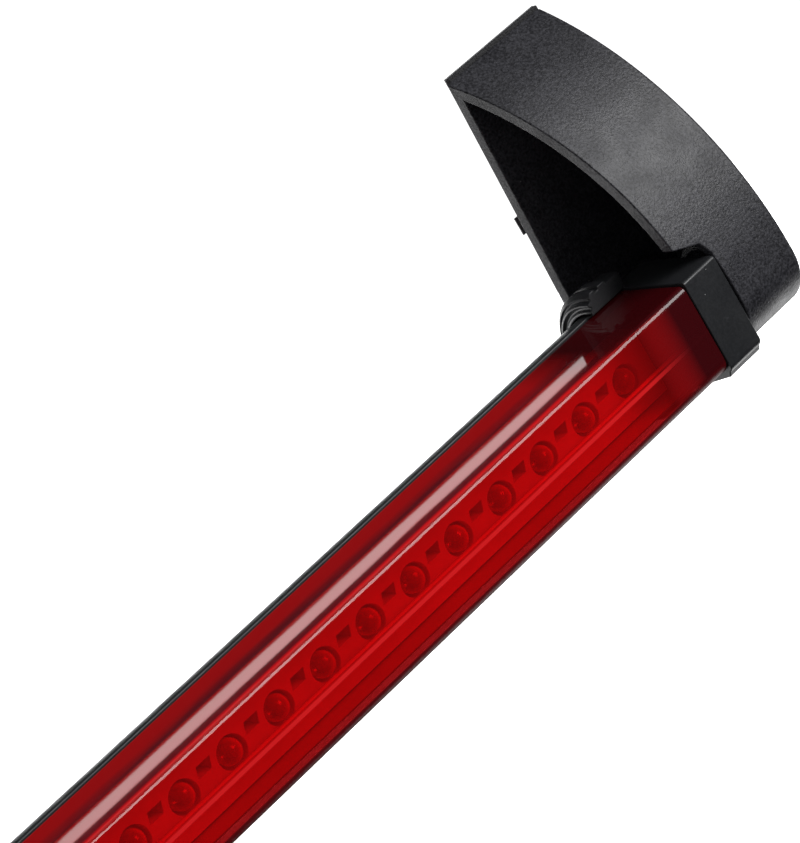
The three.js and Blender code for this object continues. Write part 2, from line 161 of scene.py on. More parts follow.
def to_object(name, bm):
    mesh = bpy.data.meshes.new(name)
    bm.to_mesh(mesh)
    bm.free()
    made = bpy.data.objects.new(name, mesh)
    bpy.context.scene.collection.objects.link(made)
    return made


def apply_modifiers(piece):
    evaluated = piece.evaluated_get(bpy.context.evaluated_depsgraph_get())
    mesh = bpy.data.meshes.new_from_object(evaluated)
    piece.modifiers.clear()
    piece.data = mesh
    return piece


def combine(bm, operation, others):
    """Joins solids to, or cuts them from, a solid, and gives the result back."""
    base = to_object("base", bm)
    tools = [to_object("tool", other) for other in others]
    for tool in tools:
        modifier = base.modifiers.new("combine", "BOOLEAN")
        modifier.operation = operation
        modifier.solver = "EXACT"
        modifier.object = tool
    apply_modifiers(base)
    result = bmesh.new()
    result.from_mesh(base.data)
    for used in (base, *tools):
        bpy.data.objects.remove(used)
    return result


def join(bm, *others):
    return combine(bm, "UNION", others)


def cut(bm, *others):
    return combine(bm, "DIFFERENCE", others)


def together(parts):
    """Separate solids held in one mesh."""
    result = bmesh.new()
    for part in parts:
        mesh = bpy.data.meshes.new("part")
        part.to_mesh(mesh)
        part.free()
        result.from_mesh(mesh)
        bpy.data.meshes.remove(mesh)
    return result


def piece(name, bm, body, slot, looks, nodes, mirrored=False, bevel=0.0):
    """Finishes a solid: edge rounding, smooth shading, material, and its place in the frame."""
    bmesh.ops.scale(bm, vec=(-MM if mirrored else MM, MM, MM), verts=bm.verts)
    bmesh.ops.translate(bm, vec=AXIS, verts=bm.verts)
    if mirrored:
        bmesh.ops.reverse_faces(bm, faces=bm.faces)
    made = to_object(name, bm)
    if bevel:
        edges = made.modifiers.new("edges", "BEVEL")
        edges.width = bevel * MM
        edges.segments = 2
        edges.limit_method = "ANGLE"
        edges.angle_limit = math.radians(32)
        edges.use_clamp_overlap = False
        edges.harden_normals = False
        apply_modifiers(made)
    for face in made.data.polygons:
        face.use_smooth = True
    made.data.set_sharp_from_angle(angle=math.radians(50))
    normals = made.modifiers.new("normals", "WEIGHTED_NORMAL")
    normals.keep_sharp = True
    apply_modifiers(made)
    for look in looks:
        made.data.materials.append(look)
    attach(made, body)
    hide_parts(*nodes)
    return made


# ---- materials ------------------------------------------------------------------------------
class Recipe:
    """A node material in the making, with patterns read from the piece's own coordinates."""

    def __init__(self, name):
        self.material = bpy.data.materials.new(name)
        self.material.use_nodes = True
        self.tree = self.material.node_tree
        self.surface = self.tree.nodes["Principled BSDF"]
        self.output = self.tree.nodes["Material Output"]
        self.place = self.add("ShaderNodeTexCoord").outputs["Object"]

    def add(self, kind, inputs=None, **settings):
        node = self.tree.nodes.new(kind)
        for key, value in settings.items():
            setattr(node, key, value)
        for key, value in (inputs or {}).items():
            self.feed(node.inputs[key], value)
        return node

    def feed(self, socket, value):
        if isinstance(value, bpy.types.NodeSocket):
            self.tree.links.new(value, socket)
        else:
            socket.default_value = value

    def set(self, **values):
        for key, value in values.items():
            self.feed(self.surface.inputs[key.replace("_", " ").title().replace("Ior", "IOR")], value)

    def stretched(self, factors):
        return self.add("ShaderNodeMapping", {"Vector": self.place, "Scale": factors}).outputs[0]

    def noise(self, size_mm, detail=3.0, roughness=0.55, place=None):
        """Noise whose blotches are about that size."""
        inputs = {"Vector": place or self.place, "Scale": 1 / (size_mm * MM),
                  "Detail": detail, "Roughness": roughness}
        return self.add("ShaderNodeTexNoise", inputs).outputs["Fac"]

    def cells(self, size_mm):
        """Distance to the middle of the nearest of many scattered cells, 0 at the middle."""
        inputs = {"Vector": self.place, "Scale": 1 / (size_mm * MM)}
        return self.add("ShaderNodeTexVoronoi", inputs).outputs["Distance"]

    def math(self, operation, a, b=0.0):
        return self.add("ShaderNodeMath", {0: a, 1: b}, operation=operation).outputs[0]

    def fade(self, value, low, high, to_low=0.0, to_high=1.0):
        """Maps low..high to to_low..to_high, held at both ends."""
        inputs = {"Value": value, "From Min": low, "From Max": high, "To Min": to_low, "To Max": to_high}
        return self.add("ShaderNodeMapRange", inputs).outputs[0]

    def blend(self, factor, a, b):
        """One colour passing into another."""
        node = self.add("ShaderNodeMix", {"Factor": factor}, data_type="RGBA")
        self.feed(node.inputs[6], a)
        self.feed(node.inputs[7], b)
        return node.outputs[2]

    def bump(self, height, depth_mm):
        inputs = {"Height": height, "Distance": depth_mm * MM, "Strength": 1.0}
        return self.add("ShaderNodeBump", inputs).outputs[0]


def moulded_black(name, dark, pale, roughness, grain_mm, grain_depth, dust):
    """Moulded plastic: fine grain, faint flow shading, scuffs, and dust specks."""
    r = Recipe(name)
    flow = r.fade(r.noise(14, 3), 0.35, 0.65, 0.25, 0.6)
    grain = r.noise(grain_mm, 2, 0.7)
    tone = r.blend(r.fade(r.math("ADD", flow, r.fade(grain, 0.3, 0.7, -0.6, 0.6)), 0, 1), dark, pale)
    scuffs = r.noise(3.2, 4, 0.6, r.stretched((1.0, 0.35, 2.2)))
    tone = r.blend(r.fade(scuffs, 0.68, 0.80, 0.0, 0.25), tone, (0.12, 0.12, 0.13, 1))
    speck = r.math("LESS_THAN", r.cells(2.2), 0.05)
    rare = r.fade(r.noise(9, 1), 0.62 - dust, 0.66 - dust)
    tone = r.blend(r.math("MULTIPLY", speck, rare), tone, (0.30, 0.30, 0.31, 1))
    gloss = r.fade(r.noise(6, 3), 0.3, 0.7, roughness - 0.05, roughness + 0.07)
    r.set(base_color=tone, roughness=gloss, normal=r.bump(grain, grain_depth))
    return r.material


def outer_fresnel(r, ior, normal=None):
    """Mirror share of a clear solid's skin, none on the way out of it."""
    inputs = {"IOR": ior}
    if normal is not None:
        inputs["Normal"] = normal
    mirror = r.add("ShaderNodeFresnel", inputs).outputs[0]
    leaving = r.add("ShaderNodeNewGeometry").outputs["Backfacing"]
    return r.math("MULTIPLY", mirror, r.math("SUBTRACT", 1.0, leaving))


def lens_zones(r):
    """Named zones of the lens, each a share from 0 to 1: where painted light goes, where painted shade
    goes, or the polished skin.
    """
    x, y, z = r.add("ShaderNodeSeparateXYZ", {"Vector": r.place}).outputs
    along = r.math("ABSOLUTE", x)
    back = r.math("SUBTRACT", y, AXIS.y)
    up = r.math("SUBTRACT", z, AXIS.z)
    streaks = r.fade(r.noise(4, 3, 0.6, r.stretched((0.15, 1, 1))), 0.3, 0.7, -1.0 * MM, 1.0 * MM)

    def zone(value, outside, inside):
        return r.fade(value, outside * MM, inside * MM)

    # rear and middle carry painted light across the top, face and rib carry painted light on the front,
    # end and chin carry painted shade
    roof = zone(up, LENS_HIGH.z - 0.4, LENS_HIGH.z - 0.2)
    low = zone(up, -6.2, -6.9)
    return {
        "roof": roof,
        "low": low,
        "chin": r.math("MULTIPLY", low, zone(back, -14.6, -15.3)),
        "rear": zone(r.math("ADD", back, streaks), -8.5, -5),
        "middle": zone(r.math("ABSOLUTE", r.math("ADD", back, 11.8 * MM)), 3.0, 2.4),
        "face": zone(back, -16.5, -17.5),
        "rib": zone(r.math("ABSOLUTE", up), 0.5, 0.3),
        "end": zone(r.math("ADD", along, r.math("MULTIPLY", roof, 14 * MM)), 164, 175),
        "polished": zone(up, -7.4, -6.0),
    }


def red_acrylic():
    """Clear red plastic with a polished skin, and a diffuse share that carries painted light and painted
    shade: a painted glow on the top's rear and middle band, the face and the inner rib, and painted shade
    at the ends and along the lower front corner.
    """
    r = Recipe("red_acrylic")
    zones = lens_zones(r)
    specks = r.math("MULTIPLY", r.math("LESS_THAN", r.cells(3.5), 0.03), 0.25)
    # dust specks, then the zones' shares, which let the painted light and shade show over the clear body
    dust_and_painted_share = r.math("ADD", specks, 0.05)
    for name, share in (("face", 0.15), ("rib", 0.85), ("roof", 0.75), ("low", 0.93), ("end", 0.8)):
        dust_and_painted_share = r.math("MAXIMUM", dust_and_painted_share, r.math("MULTIPLY", zones[name], share))
    # painted light and shade in the diffuse colour: bright red where light is painted, dark red at the
    # ends and the chin
    lit = r.math("MAXIMUM", zones["rear"], zones["middle"])
    painted_light_and_shade = r.blend(lit, (0.20, 0.010, 0.018, 1), (0.66, 0.005, 0.008, 1))
    painted_light_and_shade = r.blend(zones["face"], painted_light_and_shade, (0.92, 0.012, 0.016, 1))
    painted_light_and_shade = r.blend(zones["rib"], painted_light_and_shade, (0.80, 0.015, 0.018, 1))
    painted_light_and_shade = r.blend(zones["end"], painted_light_and_shade, (0.06, 0.002, 0.004, 1))
    painted_light_and_shade = r.blend(zones["chin"], painted_light_and_shade, (0.09, 0.003, 0.005, 1))
    r.set(base_color=painted_light_and_shade, roughness=0.4, specular_ior_level=0.1)
    tint = r.blend(r.fade(r.noise(20, 2), 0.4, 0.6), (0.94, 0.22, 0.24, 1), (0.92, 0.19, 0.21, 1))
    clear = r.add("ShaderNodeBsdfTransparent", {"Color": tint}).outputs[0]
    body = r.add("ShaderNodeMixShader", {0: dust_and_painted_share, 1: clear, 2: r.surface.outputs[0]}).outputs[0]

    skin_normal = r.bump(r.noise(8, 2, 0.5, r.stretched((0.2, 1, 1))), 0.0015)
    shine = r.add("ShaderNodeBsdfGlossy", {"Roughness": 0.015, "Normal": skin_normal}).outputs[0]
    mirror = r.math("MULTIPLY", outer_fresnel(r, 1.45, skin_normal), zones["polished"])
    both = r.add("ShaderNodeMixShader", {0: mirror, 1: body, 2: shine}).outputs[0]
    r.feed(r.output.inputs["Surface"], both)
    return r.material


def led_epoxy():
    """Red clear epoxy with a painted highlight: bright red diffuse rising towards its rim."""
    r = Recipe("led_epoxy")
    tint = r.blend(r.fade(r.noise(1.5, 2), 0.4, 0.6), (0.95, 0.42, 0.40, 1), (0.9, 0.34, 0.32, 1))
    clear = r.add("ShaderNodeBsdfTransparent", {"Color": tint}).outputs[0]
    shine = r.add("ShaderNodeBsdfGlossy", {"Roughness": 0.08}).outputs[0]
    facing = r.add("ShaderNodeLayerWeight", {"Blend": 0.5}).outputs["Facing"]
    r.set(base_color=(0.95, 0.05, 0.05, 1), roughness=0.25)
    # painted highlight: the diffuse share grows towards the rim, drawing the bright arcs along the dome's
    # outline
    body = r.add("ShaderNodeMixShader", {0: r.fade(facing, 0.2, 0.6, 0.4, 0.95), 1: clear,
                                         2: r.surface.outputs[0]}).outputs[0]
    edge = outer_fresnel(r, 1.55)
    both = r.add("ShaderNodeMixShader", {0: edge, 1: body, 2: shine}).outputs[0]
    r.feed(r.output.inputs["Surface"], both)
    return r.material


def bright_tray():
    """Bright moulded plastic with a satin reflecting skin."""
    r = Recipe("bright_tray")
    tone = r.blend(r.fade(r.noise(7, 3), 0.35, 0.65), (0.84, 0.84, 0.84, 1), (0.93, 0.93, 0.93, 1))
    r.set(base_color=tone, roughness=r.fade(r.noise(3, 2), 0.3, 0.7, 0.35, 0.5),
          normal=r.bump(r.noise(1.2, 2), 0.06))
    return r.material


def solder_mask():
    """Green board with copper tracks under the mask, and tinned pads at the LED pitch."""
    r = Recipe("solder_mask")
    spots = r.add("ShaderNodeSeparateXYZ", {"Vector": r.place}).outputs
    along = r.math("PINGPONG", spots[0], LED_PITCH * MM / 2)
    track = r.math("LESS_THAN", r.math("PINGPONG", spots[2], 2.4 * MM), 0.5 * MM)
    tone = r.blend(track, (0.010, 0.060, 0.026, 1), (0.022, 0.115, 0.050, 1))
    pad = r.math("LESS_THAN", along, 0.7 * MM)
    tone = r.blend(r.math("MULTIPLY", pad, track), tone, (0.5, 0.5, 0.52, 1))
    mottle = r.blend(r.fade(r.noise(2.5, 3), 0.3, 0.7), (0.9, 0.9, 0.9, 1), (1, 1, 1, 1))
    shaded = r.add("ShaderNodeMix", {"Factor": 1.0}, data_type="RGBA", blend_type="MULTIPLY")
    r.feed(shaded.inputs[6], tone)
    r.feed(shaded.inputs[7], mottle)
    r.set(base_color=shaded.outputs[2], roughness=r.fade(track, 0, 1, 0.42, 0.3),
          normal=r.bump(track, 0.05))
    return r.material


def metal(name, dark, pale, roughness):
    """Turned or stamped metal with fine tool marks and stains."""
    r = Recipe(name)
    tone = r.blend(r.fade(r.noise(1.8, 4), 0.35, 0.65), dark, pale)
    marks = r.noise(0.25, 3, 0.6, r.stretched((6, 1, 1)))
    gloss = r.fade(r.noise(0.9, 3), 0.3, 0.7, roughness - 0.06, roughness + 0.1)
    r.set(base_color=tone, metallic=1.0, roughness=gloss, normal=r.bump(marks, 0.012))
    return r.material


def soft_rubber():
    r = Recipe("soft_rubber")
    tone = r.blend(r.fade(r.noise(2.5, 4), 0.4, 0.7), (0.012, 0.012, 0.012, 1), (0.035, 0.035, 0.034, 1))
    r.set(base_color=tone, roughness=r.fade(r.noise(1.2, 3), 0.3, 0.7, 0.62, 0.8),
          normal=r.bump(r.noise(0.35, 3), 0.03))
    return r.material


def closed_cell_foam():
    """Dark foam tape: open bubbles along its cut edges, each painted darker towards its middle as shade in
    the hollow.
    """
    r = Recipe("closed_cell_foam")
    bubbles = r.cells(0.35)
    # painted shade: darker towards each bubble's middle, where the bump sinks
    tone = r.blend(r.fade(bubbles, 0.1, 0.6), (0.008, 0.008, 0.009, 1), (0.034, 0.034, 0.036, 1))
    r.set(base_color=tone, roughness=0.92, normal=r.bump(bubbles, 0.12))
    return r.material


def release_film():
    """Grey release film, lightly creased, with painted shade along the creases: darker where the crease
    bump sinks, paler where it rises.
    """
    r = Recipe("release_film")
    creases = r.noise(4, 3, 0.5, r.stretched((1, 1, 0.3)))
    # painted shade: the tone follows the creases' bump, darker in each hollow
    tone = r.blend(r.fade(creases, 0.35, 0.65), (0.10, 0.10, 0.105, 1), (0.17, 0.17, 0.175, 1))
    r.set(base_color=tone, roughness=r.fade(r.noise(8, 2), 0.3, 0.7, 0.22, 0.34), coat_weight=0.3,
          normal=r.bump(creases, 0.05))
    return r.material


def lacquer(name, body, bands):
    """Lacquered axial body with colour bands, placed along each part's own pitch."""
    r = Recipe(name)
    pitch = LED_PITCH * LEDS_PER_STRING * MM
    x = r.add("ShaderNodeSeparateXYZ", {"Vector": r.place}).outputs[0]
    local = r.math("SUBTRACT", r.math("FLOORED_MODULO", x, pitch), pitch / 2)
    tone = r.blend(r.fade(r.noise(1, 2), 0.4, 0.6), body, tuple(0.85 * c for c in body[:3]) + (1,))
    for centre, colour in bands:
        off = r.math("ABSOLUTE", r.math("SUBTRACT", local, centre * MM))
        tone = r.blend(r.math("LESS_THAN", off, 0.28 * MM), tone, colour)
    r.set(base_color=tone, roughness=0.35, coat_weight=0.4, normal=r.bump(r.noise(0.7, 2), 0.02))
    return r.material


CASE = moulded_black("case_black", (0.015, 0.016, 0.018, 1), (0.025, 0.026, 0.029, 1),
                     0.40, 0.35, 0.008, -0.02)
FOOT = moulded_black("foot_black", (0.010, 0.010, 0.013, 1), (0.056, 0.056, 0.065, 1),
                     0.44, 0.5, 0.10, 0.0)
LENS = red_acrylic()
EPOXY = led_epoxy()
TRAY = bright_tray()
BOARD = solder_mask()
STEEL = metal("blackened_steel", (0.07, 0.07, 0.075, 1), (0.16, 0.16, 0.165, 1), 0.34)
TINNED = metal("tinned_wire", (0.45, 0.45, 0.46, 1), (0.62, 0.62, 0.64, 1), 0.28)
RUBBER = soft_rubber()
FOAM = closed_cell_foam()
FILM = release_film()


# ---- lamp -----------------------------------------------------------------------------------
def housing():
    """Round-backed channel with a ledge for the board, screw ports at both ends, and the inlet."""
    radius, wall = HOUSING_HIGH.z, 1.8
    inside = radius - wall
    ledge_z, ledge_y = 5.6, 1.5
    lip = math.degrees(math.asin(ledge_y / inside))
    outline = arc(0, 0, radius, -90, 90, 40)
    outline += [(0, ledge_z), (ledge_y, ledge_z)]
    outline += arc(0, 0, inside, 90 - lip, lip - 90, 32)
    outline += [(ledge_y, -ledge_z), (0, -ledge_z)]
    end = HOUSING_HIGH.x
    ports, bores = [], []
    for z in (-CAP_SCREW_Z, CAP_SCREW_Z):
        for x0, x1 in ((-end, 14 - end), (end - 14, end)):
            ports.append(turned([(x0, 2.6), (x1, 2.6)], CAP_SCREW_Y, z))
            bores.append(turned([(x0 - 1, 1.6), (x1 + 1, 1.6)], CAP_SCREW_Y, z))
    back = HOUSING_HIGH.y
    boss = turned_to_front([(-back, 5.1), (-back + 0.4, 5.5), (-back + 3.2, 5.5)], 0)
    inlet = turned_to_front([(-back - 1, 3), (-back + 6, 3)], 0)
    return cut(join(prism(outline, -end, end), *ports, boss), *bores, inlet)


def lens():
    """Three-sided cover with rounded front corners and a rib along the inside of its face."""
    front, rear, top, bottom = LENS_LOW.y, LENS_HIGH.y, LENS_HIGH.z, LENS_LOW.z
    wall, upper, lower, rib = 2.0, 1.4, 3.2, 0.7
    outline = [(rear, top), *arc(front + upper, top - upper, upper, 90, 180, 12)]
    outline += arc(front + lower, bottom + lower, lower, 180, 270, 16)
    outline += [(rear, bottom), (rear, bottom + wall)]
    inner = lower - wall
    outline += arc(front + lower, bottom + lower, inner, 270, 180, 8)
    crest = front + wall + rib * 0.8
    outline += [(front + wall, -rib), (crest, -0.15), (crest, 0.15)]
    outline += [(front + wall, rib), *arc(front + wall + 0.6, top - wall - 0.6, 0.6, 180, 90, 4)]
    outline += [(rear, top - wall)]
    return prism(outline, LENS_LOW.x, LENS_HIGH.x)


def led_x(i):
    return (i - (LED_COUNT - 1) / 2) * LED_PITCH


def cup(x):
    """The hollow round one LED: a round throat that opens into a flared mouth."""
    back, front = -TRAY_HIGH.y, -TRAY_LOW.y
    return turned_to_front([(back - 0.5, 2.9), (back + 1.2, 2.9), (front - 0.3, 3.0),
                            (front + 0.2, 3.2)], x)


def window(x):
    """The slanting slot between two LEDs, seen from the front."""
    low, high, half, lean = 0.5, 2.5, 1.6, 0.4
    outline = [(x - half - lean, low), (x + half - lean, low), (x + half + lean, high),
               (x - half + lean, high)]
    return panel(outline, TRAY_LOW.y - 1, TRAY_HIGH.y + 1)


def tray():
    """The reflector: a cup round each LED and a slot between each two."""
    low, high = TRAY_LOW, TRAY_HIGH
    holes = [cup(led_x(i)) for i in range(LED_COUNT)]
    holes += [window(led_x(i + 0.5)) for i in range(LED_COUNT - 1)]
    return cut(block(low.x, high.x, low.y, high.y, low.z, high.z), together(holes))


def led(x):
    """One 5 mm LED: flange, slightly tapered body and round dome."""
    base, flange = 2.2, 2.9
    profile = [(base, flange), (base + 0.9, flange), (base + 1.0, 2.8), (base + 1.0, 2.5)]
    shoulder = base + 6.1
    for i in range(9):
        angle = math.radians(88 * i / 8)
        profile.append((shoulder + 2.5 * math.sin(angle), 2.46 * math.cos(angle)))
    return turned_to_front(profile, x)


def led_frame(x):
    """The two metal posts inside an LED, one with the cup that holds the die."""
    anvil = turned_to_front([(2.0, 0.45), (5.2, 0.45), (5.8, 0.95), (6.6, 1.1), (6.5, 0.7),
                             (6.2, 0.5)], x - 0.55, 12)
    post = block(x + 0.75, x + 1.25, -6.3, -2.0, -0.3, 0.3)
    return [anvil, post]


def led_string(number):
    places = [led_x(LEDS_PER_STRING * number + i) for i in range(LEDS_PER_STRING)]
    bodies = together([led(x) for x in places])
    metal_faces = [block(places[0], places[-1], -2.8, -2.25, -0.75, 0.75)]
    for x in places:
        metal_faces += led_frame(x)
    posts = together(metal_faces)
    for face in posts.faces:
        face.material_index = 1
    return together([bodies, posts])


def axial_part(x, radius, half_length, waist):
    """An axial component with bulged ends, its wire legs bent down onto the board."""
    y, leg = 1.6, 0.3
    reach = half_length + 1.2
    end = half_length * 0.62
    bulge = [(half_length, radius * 0.55), (half_length - 0.3, radius * 0.92), (end + 0.3, radius),
             (end, waist)]
    profile = [(-dx, r) for dx, r in bulge] + bulge[::-1]
    body = turned([(x + dx, r) for dx, r in profile], y, 0, 24)
    wire = turned([(x - reach - leg, leg), (x + reach + leg, leg)], y, 0, 12)
    legs = [block(x + d - leg, x + d + leg, 0, y, -leg, leg) for d in (-reach, reach)]
    metal_parts = together([wire, *legs])
    for face in metal_parts.faces:
        face.material_index = 1
    return together([body, metal_parts])


def grommet():
    """Rubber ring gripping the housing's back, its bore the cable inlet."""
    outer, inner = -GROMMET_HIGH.y, -GROMMET_LOW.y
    waist_out, waist_in = outer + 1.5, inner - 1.2
    profile = [(outer + 0.3, 1.4), (outer, 1.7), (outer, 3.0), (outer + 0.4, 3.5),
               (waist_out - 0.2, 4.4), (waist_out, 4.3), (waist_out, 2.7), (waist_in, 2.7),
               (waist_in, 3.8), (inner - 0.1, 3.4), (inner, 3.1), (inner, 1.4)]
    return ring(profile, lambda along, a, b: (a, -along, b), 40)


# ---- end cap --------------------------------------------------------------------------------
COLLAR_STEPS = 96                      # facets round the collar, shared by the block's chin


def collar():
    """Ribbed ring round the lamp's back, cut away where the lens comes through."""
    near, end, radius = CAP_LOW.x, CAP_NEAR + 0.4, CAP_HIGH.z
    groove = radius - 0.6
    profile = [(near + 0.5, 9), (near, 9.6), (near, 10.9), (near + 0.5, 11.1), (near + 0.5, 11.6),
               (near, 11.8), (near, 12.3), (near + 0.9, 12.6), (near + 0.9, 13.0), (near + 0.6, 13.2),
               (near + 1.4, radius), (near + 2.6, radius), (near + 2.7, groove), (near + 3.5, groove),
               (near + 3.6, radius), (near + 5.4, radius), (near + 5.8, groove), (end, groove), (end, 9)]
    body = ring(profile, lambda along, a, b: (along, a, b), COLLAR_STEPS)
    start, stop = near - 1, CAP_NEAR - GAP / 2
    bore = HOUSING_HIGH.z + GAP
    lamp_hole = prism([(-1, -bore), *arc(0, 0, bore, -90, 90, 40), (-1, bore)], start, stop)
    past, clear = -30, radius + 0.6
    lens_hole = block(start, stop, past, 0, LENS_LOW.z - GAP, LENS_HIGH.z + GAP)
    front = prism([(0, 0), (-2, clear), (past, clear), (past, past)], start, end + 1)
    return cut(body, lamp_hole, lens_hole, front)


def cap_outline():
    """The block's side outline: flat front and top, and a chin flush with the collar's groove."""
    radius, front, bottom = HOUSING_HIGH.z, LENS_LOW.y, LENS_LOW.z
    outline = arc(front + 0.6, radius - 0.6, 0.6, 90, 180, 5)
    outline += arc(front + 1.4, bottom + 1.1, 1.4, 180, 252, 8)
    outline += [(front + 1.6, bottom - 1.3)]
    facet, first, last = 360 / COLLAR_STEPS, 65, 77
    outline += arc(0, 0, CAP_HIGH.z - 0.6, first * facet, last * facet, last - first)
    outline += arc(0, 0, radius, -54, 90, 32)
    return outline


def end_cap():
    """Block beside the lens end, with the collar, the plug into the lamp, and the ratchet."""
    body = round_edges(prism(cap_outline(), CAP_NEAR, CAP_FAR),
                       lambda p: p.x > CAP_FAR - 0.1 and p.y < -2, 0.5)
    plug = block(HOUSING_HIGH.x - 3, CAP_NEAR + 0.5, LENS_LOW.y + 3.2, 2.5, -5.2, 5.2)
    disc = turned([(CAP_FAR - 0.5, 4.4), (CAP_FAR + 0.8, 4.4)])
    teeth = []
    for y, z in circle(3.45, 16):
        teeth.append(turned([(CAP_FAR, 0.45), (CAP_FAR + TOOTH, 0.2)], y, z, 8))
    pilot = turned([(HOUSING_HIGH.x + 1, 2.2), (CAP_FAR + 2, 2.2)])
    recesses = []
    for z in (-CAP_SCREW_Z, CAP_SCREW_Z):
        recesses.append(turned([(HOUSING_HIGH.x - 1, 1.6), (CAP_FAR + 1, 1.6)], CAP_SCREW_Y, z))
        recesses.append(turned([(CAP_FAR - 2.4, 2.8), (CAP_FAR + 1, 2.8)], CAP_SCREW_Y, z))
    return cut(join(body, plug, collar(), disc, *teeth), pilot, *recesses)


def cross_recess(floor_x, mouth_x, reach, y, z):
    """Two slots that cross and narrow towards their floor."""
    thin = 0.32
    slots = []
    for a, b in ((thin, reach), (reach, thin)):
        floor = [(floor_x, y + i * a / 2, z + j * b / 2) for i, j in SQUARE]
        mouth = [(mouth_x, y + i * a, z + j * b) for i, j in SQUARE]
        slots.append(skin([floor, mouth]))
    return slots


def screw(tip, seat, shank, head, head_length, y=0.0, z=0.0):
    """Pan-head screw with a thread and a tapered cross recess."""
    profile = [(tip, 0.15), (tip + shank, shank * 0.8)]
    turn = tip + shank
    while turn < seat - 1.2:
        profile += [(turn + 0.35, shank), (turn + 0.7, shank * 0.82)]
        turn += 0.7
    rim = seat + head_length * 0.45
    profile += [(seat - 0.4, shank), (seat, shank), (seat, head * 0.96), (seat + 0.12, head), (rim, head)]
    for i in range(1, 7):
        angle = math.radians(15 * i)
        profile.append((rim + head_length * 0.55 * math.sin(angle),
                        head * (0.55 + 0.45 * math.cos(angle))))
    recess = cross_recess(seat + head_length * 0.4, seat + head_length + 0.5, head * 0.6, y, z)
    return cut(turned(profile, y, z), *recess)


# ---- foot -----------------------------------------------------------------------------------
BOW = Vector((47.1, 0.0, 65.2))        # y, z and radius of the long front curve
CHIN = Vector((-7.6, 0.0, 10.5))
HEEL = Vector((1.4, 0.0, 12.0))
WALL = 2.2
HAIR = 0.01                            # keeps the finely faceted curves inside the frame's box
BACK_SKIRT = 4.2                       # how much lower the back wall reaches past the collar
OPEN_X, OPEN_LEAN, OPEN_SPLAY = 179.1, 0.044, -0.19  # open side: x at the back's top, and its slopes


def foot_outline(inset):
    """Flat back, bow, chin and heel, pulled in by an inset."""
    back = FOOT_HIGH.y - inset
    bow, chin, heel = BOW.z - inset, CHIN.z - inset, HEEL.z - inset
    top = math.degrees(math.atan2(math.sqrt(bow ** 2 - (back - BOW.x) ** 2), back - BOW.x))
    slope = math.degrees(math.atan2(HEEL.y - CHIN.y, HEEL.x - CHIN.x))
    slope -= math.degrees(math.acos((chin - heel) / (HEEL - CHIN).xy.length))
    outline = arc(BOW.x, BOW.y, bow, top, 180, 40)
    outline += arc(CHIN.x, CHIN.y, chin, 180, slope + 360, 20)[1:]
    outline += arc(HEEL.x, HEEL.y, heel, slope, 0, 20)
    return outline


def open_side():
    """Everything on the lamp's side of the foot's slanting open side."""
    bm = block(-100, 0, -50, 50, -50, 100)
    for v in bm.verts:
        v.co.x += OPEN_X + OPEN_SPLAY * (v.co.y - FOOT_HIGH.y) + OPEN_LEAN * (v.co.z - FOOT_HIGH.z)
    return bm


def cap_notch(start):
    """The room that the foot leaves for the end cap."""
    clear, top, below = CAP_FAR + GAP, HOUSING_HIGH.z + GAP, -20
    outline = [(start, 21), (clear - 1, top + 2.5), (clear, top), (clear, below), (start, below)]
    return panel(outline, LENS_LOW.y - 10, FOOT_HIGH.y - WALL - 0.4)


def foot():
    """The cup, open towards the lamp, notched round the end cap, with the tilt screw's boss."""
    start, far, back = HOUSING_HIGH.x - 12, FOOT_HIGH.x, FOOT_HIGH.y
    collar_end, below, behind = CAP_NEAR + 0.8, -20, back + 10
    shell = round_edges(prism(foot_outline(HAIR), start, far), lambda p: p.x > far - 0.1, 0.7)
    shell = cut(shell,
                prism(foot_outline(WALL), start - 1, far - 2),
                open_side(),
                cap_notch(start),
                block(start - 1, collar_end, 0, behind, below, PAD_LOW.z),
                block(start - 1, CAP_FAR + GAP, 0, behind, below, PAD_LOW.z - BACK_SKIRT))
    boss_radius, seat_radius = 5.2, 6.6
    boss = turned([(CAP_FAR + 2, boss_radius - 0.3), (CAP_FAR + 2.3, boss_radius), (far - 1, boss_radius)])
    seat = turned([(far - 6, seat_radius), (far - 1, seat_radius)])
    bore = turned([(CAP_FAR, 2.2), (far + 1, 2.2)])
    recess = turned([(far - 4.1, 5), (far + 1, 5)], steps=48)
    return cut(join(shell, boss, seat), bore, recess)


def spring_washer():
    """Split ring, its two ends sprung a little apart along the screw."""
    near, steps = FOOT_HIGH.x - 3.8, 48
    rings = []
    for i in range(steps + 1):
        turn = math.radians(6 + 348 * i / steps)
        x = near + 0.1 * i / steps
        section = [(x, 2.35), (x, 4.25), (x + 0.7, 4.25), (x + 0.7, 2.35)]
        rings.append([(x, r * math.cos(turn), r * math.sin(turn)) for x, r in section])
    return skin(rings)


def pad():
    return block(PAD_LOW.x, PAD_HIGH.x, PAD_LOW.y, PAD_HIGH.y, PAD_LOW.z, PAD_HIGH.z)


def liner():
    """Release film over the pad, with its pull tab."""
    low, high = LINER_LOW, LINER_HIGH
    tab_low, tab_high = 24, 27.6
    film = block(PAD_LOW.x, high.x, low.y, high.y, low.z, high.z)
    tab = block(low.x, PAD_LOW.x + 1, low.y, high.y, tab_low, tab_high)
    return join(film, tab)


